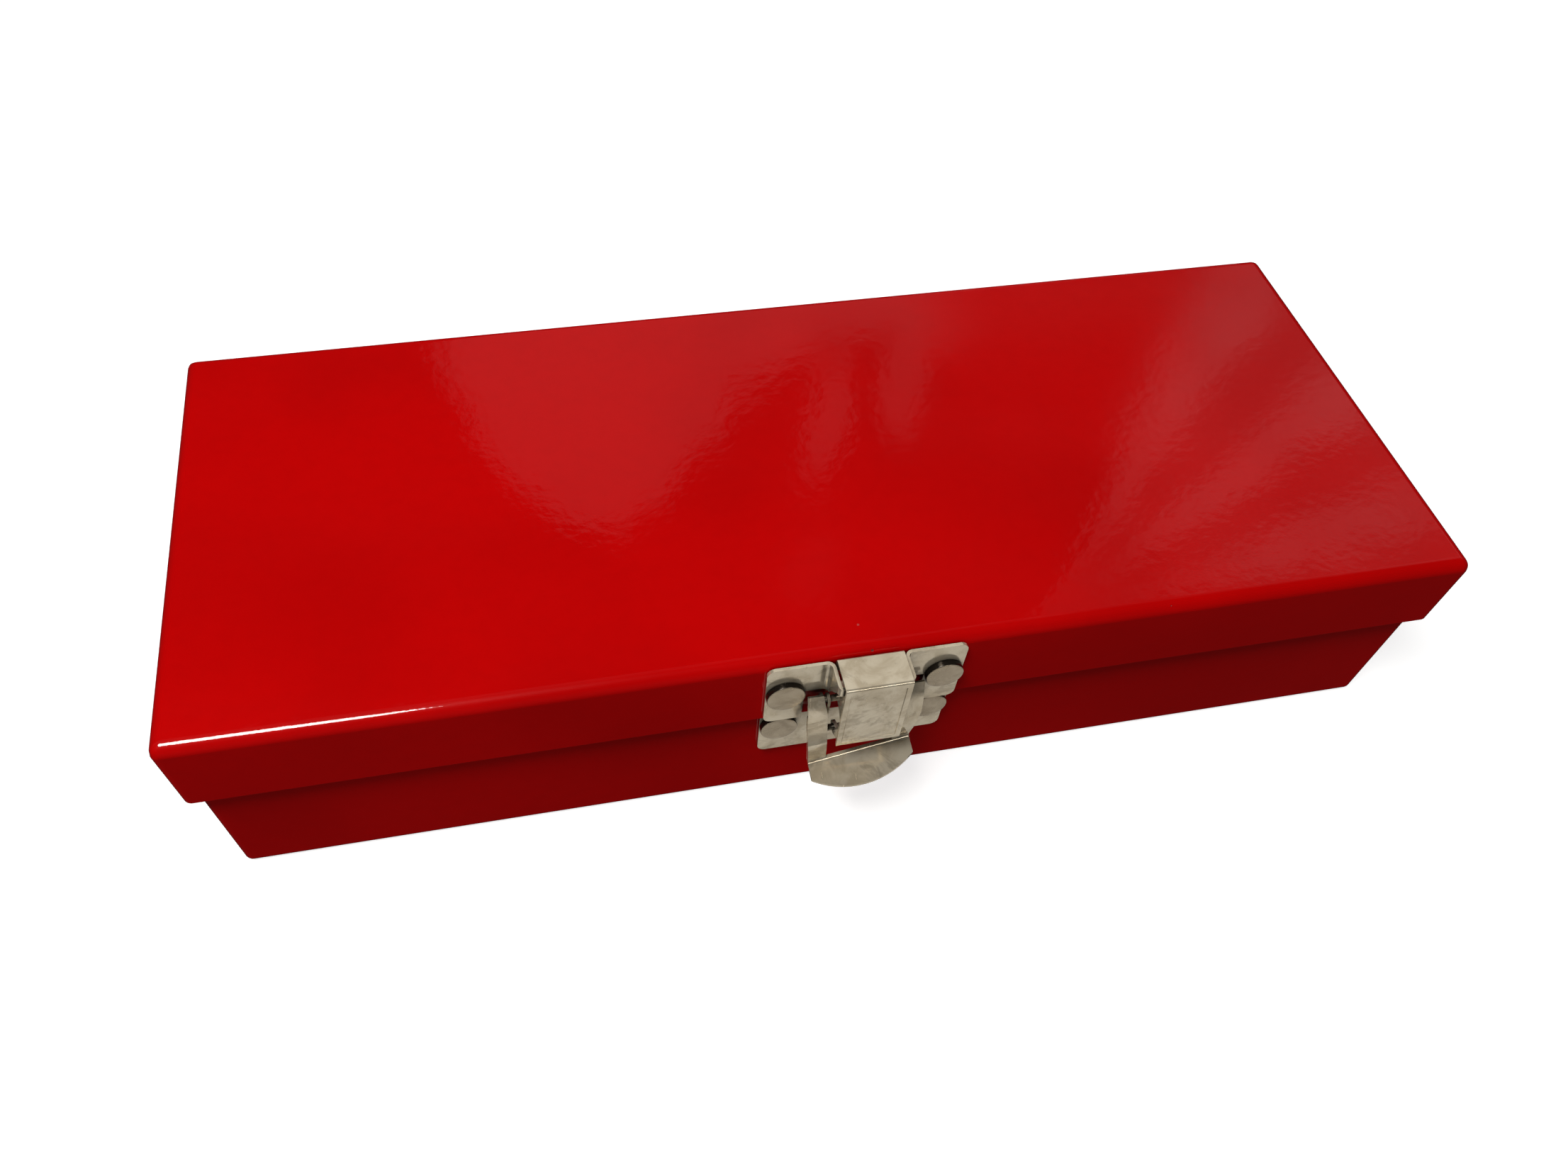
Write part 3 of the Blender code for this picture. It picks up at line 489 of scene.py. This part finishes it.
# %% [markdown]
# The body and the lid are trays folded from one millimetre sheet. Each starts as a bare open box. A
# weighted bevel rounds the folds, wide on the lid's rim and tighter at the uprights, and Solidify gives
# the sheet its thickness. A last small bevel takes the bite off the cut edge. The sizes come from the CAD
# nodes. How far each point leans away from flat is kept as an attribute for the paint.

# %% Folded trays
SHEET = 1.0 * MM
TRAY_BEND = 2.0 * MM
LID_RIM_BEND = 3.0 * MM
BEND_SEGMENTS = 8
EDGE_SOFT = 0.3 * MM
FULL_LEAN = 0.25


def folded_tray(name, node_name, open_end, flat_bend, corner_bend):
    """An open box of bent sheet: open_end is 1 for an open top and -1 for an open bottom."""
    low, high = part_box(node_name)
    bm = bmesh.new()
    bmesh.ops.create_cube(bm, size=1)
    bmesh.ops.scale(bm, vec=high - low, verts=bm.verts)
    bmesh.ops.translate(bm, vec=(low + high) / 2, verts=bm.verts)
    mouth = [face for face in bm.faces if face.normal.z * open_end > 0.5]
    bmesh.ops.delete(bm, geom=mouth, context="FACES_ONLY")
    wide = max(flat_bend, corner_bend)
    weight = bm.edges.layers.float.new("bevel_weight_edge")
    for edge in bm.edges:
        upright = abs(edge.verts[0].co.z - edge.verts[1].co.z) > 1 * MM
        cut = len(edge.link_faces) == 1
        edge[weight] = 0 if cut else (corner_bend if upright else flat_bend) / wide
    tray = object_from(name, bm)
    folds = tray.modifiers.new("folds", "BEVEL")
    folds.limit_method, folds.width, folds.segments = "WEIGHT", wide, BEND_SEGMENTS
    wall = tray.modifiers.new("sheet", "SOLIDIFY")
    wall.thickness, wall.offset, wall.use_even_offset = SHEET, -1, True
    tray = frozen(tray)
    soft = tray.modifiers.new("cut_edge", "BEVEL")
    soft.limit_method, soft.angle_limit, soft.width, soft.segments = "ANGLE", radians(50), EDGE_SOFT, 3
    tray = frozen(tray)
    bm = bmesh.new()
    bm.from_mesh(tray.data)
    bend = bm.verts.layers.float.new("bend")
    for corner in bm.verts:
        squareness = max(abs(v) for v in corner.normal)
        corner[bend] = min(1.0, (1.0 - squareness) / FULL_LEAN)
    for face in bm.faces:
        face.smooth = True
    bm.to_mesh(tray.data)
    bm.free()
    flat = tray.modifiers.new("flat_faces", "WEIGHTED_NORMAL")
    flat.keep_sharp = True
    return frozen(tray)


body_tray = folded_tray("body_shell_tray", "body_shell", 1, TRAY_BEND, TRAY_BEND)
settle(body_tray, "body_tray", "box", ["body_shell"], RED_ENAMEL)
lid_tray = folded_tray("lid_shell_tray", "lid_shell", -1, LID_RIM_BEND, TRAY_BEND)
settle(lid_tray, "lid_tray", "lid", ["lid_shell"], RED_ENAMEL)

# %% [markdown]
# The latch and the hinge leaves are pressings whose shape the CAD already holds exactly. A copy of each
# node is merged into one skin, its flat faces are joined again, and a fine bevel rolls every sheared
# edge, because a real edge is never knife sharp and that thin line is what catches the light. The cover
# also has a shallow dish pressed into its front. Pins and the spring keep their round sections as they are.

# %% Pressings
PRESSED_EDGE = 0.10 * MM
SMOOTH_UNDER = 32
ROUND_UNDER = 40
WELD = 0.002 * MM
DISH_BORDER = 1.2 * MM
DISH_DEPTH = 0.2 * MM


def press_dish(bm):
    """Sinks a shallow dish into the largest face that looks out of the front."""
    front = max((f for f in bm.faces if f.normal.y < -0.99), key=lambda f: f.calc_area())
    bmesh.ops.inset_region(bm, faces=[front], thickness=DISH_BORDER, use_even_offset=True)
    bmesh.ops.inset_region(bm, faces=[front], thickness=DISH_DEPTH, depth=-DISH_DEPTH, use_even_offset=True)


def pressing(node_name, edge=PRESSED_EDGE, smooth_under=SMOOTH_UNDER, dished=False):
    bm = bmesh.new()
    bm.from_mesh(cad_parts[node_name].data)
    bmesh.ops.remove_doubles(bm, verts=bm.verts, dist=WELD)
    bmesh.ops.dissolve_limit(bm, angle_limit=radians(0.6), verts=bm.verts, edges=bm.edges)
    bmesh.ops.dissolve_degenerate(bm, dist=WELD, edges=bm.edges)
    if dished:
        press_dish(bm)
    for face in bm.faces:
        face.smooth = True
    for line in bm.edges:
        line.smooth = line.calc_face_angle(0.0) < radians(smooth_under)
    piece = object_from(node_name + "_pressed", bm)
    if edge:
        rolled = piece.modifiers.new("edges", "BEVEL")
        rolled.limit_method, rolled.angle_limit = "ANGLE", radians(smooth_under)
        rolled.width, rolled.segments, rolled.use_clamp_overlap = edge, 2, True
    flat = piece.modifiers.new("flat_faces", "WEIGHTED_NORMAL")
    flat.keep_sharp = True
    return frozen(piece)


SIDES = ("left", "right")
PRESSINGS = (
    ("strike", "strike_plate", "lid"),
    ("latch_base_plate", "latch_base", "box"),
    ("cover_link", "draw_link", "link"),
    ("thumb_handle", "handle", "handle"),
)
for piece_name, node_name, body in PRESSINGS:
    pressed = pressing(node_name, dished=node_name == "draw_link")
    settle(pressed, piece_name, body, [node_name], NICKEL)

for side in SIDES:
    for leaf, body in (("lower", "box"), ("upper", "lid")):
        node_name = f"hinge_{leaf}_leaf_{side}"
        settle(pressing(node_name), f"hinge_{leaf}_{side}", body, [node_name], NICKEL)

ROUND_STOCK = (
    ("pivot_pin", "box", NICKEL, "nickel_plate"),
    ("link_pin", "handle", NICKEL, "nickel_plate"),
    ("hinge_pin_left", "box", NICKEL, "nickel_plate"),
    ("hinge_pin_right", "box", NICKEL, "nickel_plate"),
    ("latch_spring", "box", SPRING_WIRE, "spring_steel"),
)
for node_name, body, finish, slot in ROUND_STOCK:
    finished = pressing(node_name, edge=0, smooth_under=ROUND_UNDER)
    settle(finished, node_name + "_finished", body, [node_name], finish)

# %% [markdown]
# Rivets repeat, so Geometry Nodes makes them. The rule of a head is a superellipse turned about its axis:
# a high power gives a flat disc with a rounded rim, a low one a dome. The same rule makes the tail on the
# inside. Each group starts as bare points at the rivets' places; every point gets one rivet, turned a
# little about its own axis by a fixed seed.

# %% Rivet tree
HEAD_RINGS, TAIL_RINGS = 14, 6
TAIL_POWER = 3.0
SHANK_OVERLAP = 0.2 * MM
SHANK_SIDES = 24
WOBBLE = 0.02
FULL_TURN = 6.28


def joined(tree, *shapes):
    together = node(tree, "GeometryNodeJoinGeometry")
    for shape in shapes:
        tree.links.new(shape, together.inputs[0])
    return together.outputs[0]


def dome(tree, radius, height, power, sides, rings):
    """Nodes for a closed cap: a superellipse dome on a flat disc, pointing up Z."""
    size = {"Size X": 1.0, "Size Y": 1.0, "Vertices X": rings + 1, "Vertices Y": sides}
    grid = node(tree, "GeometryNodeMeshGrid", size)
    at = node(tree, "ShaderNodeSeparateXYZ", {0: node(tree, "GeometryNodeInputPosition").outputs[0]}).outputs
    rise = calc(tree, "MULTIPLY", calc(tree, "ADD", at[0], 0.5), pi / 2)
    turn = calc(tree, "MULTIPLY", calc(tree, "ADD", at[1], 0.5), 2 * pi)
    share = calc(tree, "DIVIDE", 2.0, power)
    out = calc(tree, "MULTIPLY", calc(tree, "POWER", calc(tree, "SINE", rise), share), radius)
    up = calc(tree, "MAXIMUM", calc(tree, "COSINE", rise), 0.0)
    up = calc(tree, "MULTIPLY", calc(tree, "POWER", up, share), height)
    x = calc(tree, "MULTIPLY", out, calc(tree, "COSINE", turn))
    y = calc(tree, "MULTIPLY", out, calc(tree, "SINE", turn))
    spot = node(tree, "ShaderNodeCombineXYZ", {0: x, 1: y, 2: up}).outputs[0]
    cap = node(tree, "GeometryNodeSetPosition", {"Geometry": grid.outputs[0], "Position": spot}).outputs[0]
    corners = calc(tree, "SUBTRACT", sides, 1)
    disc = node(tree, "GeometryNodeMeshCircle", {"Vertices": corners, "Radius": radius}, fill_type="NGON")
    under = node(tree, "GeometryNodeFlipFaces", {"Mesh": disc.outputs[0]}).outputs[0]
    closed = joined(tree, cap, under)
    return node(tree, "GeometryNodeMergeByDistance", {"Geometry": closed, "Distance": WELD}).outputs[0]


def moved(tree, shape, along, turn=(0, 0, 0)):
    """Slides a shape along Z, after turning it."""
    shift = node(tree, "ShaderNodeCombineXYZ", {2: along}).outputs[0]
    inputs = {"Geometry": shape, "Translation": shift, "Rotation": turn}
    return node(tree, "GeometryNodeTransform", inputs).outputs[0]


RIVET_INPUTS = (
    ("Head Radius", 4.5 * MM), ("Head Height", 1.5 * MM), ("Head Power", 7.0), ("Shank Radius", 1.6 * MM),
    ("Grip", 2.0 * MM), ("Tail Radius", 2.6 * MM), ("Tail Height", 0.8 * MM), ("Sides", 49),
)


def rivet_tree():
    tree = bpy.data.node_groups.new("rivets", "GeometryNodeTree")
    face = tree.interface
    face.new_socket("Geometry", in_out="INPUT", socket_type="NodeSocketGeometry")
    for name, value in RIVET_INPUTS:
        kind = "NodeSocketInt" if isinstance(value, int) else "NodeSocketFloat"
        face.new_socket(name, in_out="INPUT", socket_type=kind).default_value = value
    face.new_socket("Facing", in_out="INPUT", socket_type="NodeSocketVector")
    face.new_socket("Seed", in_out="INPUT", socket_type="NodeSocketInt")
    face.new_socket("Finish", in_out="INPUT", socket_type="NodeSocketMaterial")
    face.new_socket("Geometry", in_out="OUTPUT", socket_type="NodeSocketGeometry")
    given = node(tree, "NodeGroupInput").outputs
    sides, grip = given["Sides"], given["Grip"]
    head = dome(tree, given["Head Radius"], given["Head Height"], given["Head Power"], sides, HEAD_RINGS)
    tail = dome(tree, given["Tail Radius"], given["Tail Height"], TAIL_POWER, sides, TAIL_RINGS)
    tail = moved(tree, tail, calc(tree, "MULTIPLY", grip, -1.0), (pi, 0, 0))
    shank = {"Radius": given["Shank Radius"], "Depth": calc(tree, "ADD", grip, SHANK_OVERLAP)}
    shank = node(tree, "GeometryNodeMeshCylinder", {"Vertices": SHANK_SIDES} | shank).outputs[0]
    shank = moved(tree, shank, calc(tree, "MULTIPLY", grip, -0.5))
    rivet = joined(tree, head, tail, shank)
    spin = {"Min": (-WOBBLE, -WOBBLE, 0), "Max": (WOBBLE, WOBBLE, FULL_TURN), "Seed": given["Seed"]}
    spin = node(tree, "FunctionNodeRandomValue", spin, data_type="FLOAT_VECTOR").outputs[0]
    own = node(tree, "FunctionNodeEulerToRotation", {0: spin}).outputs[0]
    aim = node(tree, "FunctionNodeAlignRotationToVector", {"Vector": given["Facing"]}, axis="Z").outputs[0]
    turned = {"Rotation": aim, "Rotate By": own}
    turned = node(tree, "FunctionNodeRotateRotation", turned, rotation_space="LOCAL").outputs[0]
    points = node(tree, "GeometryNodeMeshToPoints", {"Mesh": given["Geometry"]}).outputs[0]
    spread = {"Points": points, "Instance": rivet, "Rotation": turned}
    spread = node(tree, "GeometryNodeInstanceOnPoints", spread).outputs[0]
    real = node(tree, "GeometryNodeRealizeInstances", {"Geometry": spread}).outputs[0]
    smooth = node(tree, "GeometryNodeSetShadeSmooth", {"Geometry": real}).outputs[0]
    finish = {"Geometry": smooth, "Material": given["Finish"]}
    painted = node(tree, "GeometryNodeSetMaterial", finish).outputs[0]
    node(tree, "NodeGroupOutput", {0: painted})
    return tree


RIVETS = rivet_tree()


def make_rivets(name, body, nodes, facing, head_height, seed, **sizes):
    """One rivet for each CAD rivet node, standing where that node's head meets the plate."""
    bm = bmesh.new()
    for node_name in nodes:
        low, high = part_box(node_name)
        middle = (low + high) / 2
        seat = low.y + head_height if facing < 0 else high.y - head_height
        bm.verts.new((middle.x, seat, middle.z))
    points = object_from(name + "_places", bm)
    made = points.modifiers.new("rivets", "NODES")
    made.node_group = RIVETS
    ids = {s.name: s.identifier for s in RIVETS.interface.items_tree if s.in_out == "INPUT"}
    sizes |= {"Head Height": head_height, "Facing": (0, facing, 0), "Seed": seed, "Finish": RIVET_NICKEL}
    for key, value in sizes.items():
        made[ids[key]] = value
    solid = frozen(points)
    bm = bmesh.new()
    bm.from_mesh(solid.data)
    open_edges = sum(len(line.link_faces) != 2 for line in bm.edges)
    print(name, "volume mm3", round(bm.calc_volume(signed=True) / MM**3, 1), "open edges", open_edges)
    for line in bm.edges:
        line.smooth = line.calc_face_angle(0.0) < radians(ROUND_UNDER)
    bm.to_mesh(solid.data)
    bm.free()
    settle(solid, name, body, nodes, RIVET_NICKEL)


LATCH_HEAD, HINGE_HEAD = 1.5 * MM, 1.2 * MM
LATCH_SIZES = {"Head Radius": 4.5 * MM, "Head Power": 14.0, "Shank Radius": 1.6 * MM}
HINGE_SIZES = {"Head Radius": 3.0 * MM, "Head Power": 3.2, "Shank Radius": 1.2 * MM, "Tail Radius": 2.0 * MM}
for plate, body, seed, grip in (("base", "box", 3, 2.1 * MM), ("strike", "lid", 5, 1.8 * MM)):
    names = [f"{plate}_rivet_{side}" for side in SIDES]
    make_rivets(f"{plate}_rivets", body, names, -1, LATCH_HEAD, seed, Grip=grip, **LATCH_SIZES)
for leaf, body, seed in (("lower", "box", 7), ("upper", "lid", 11)):
    names = [f"hinge_rivet_{leaf}_{side}_{end}" for side in SIDES for end in ("inner", "outer")]
    make_rivets(f"hinge_rivets_{leaf}", body, names, 1, HINGE_HEAD, seed, Grip=1.8 * MM, **HINGE_SIZES)
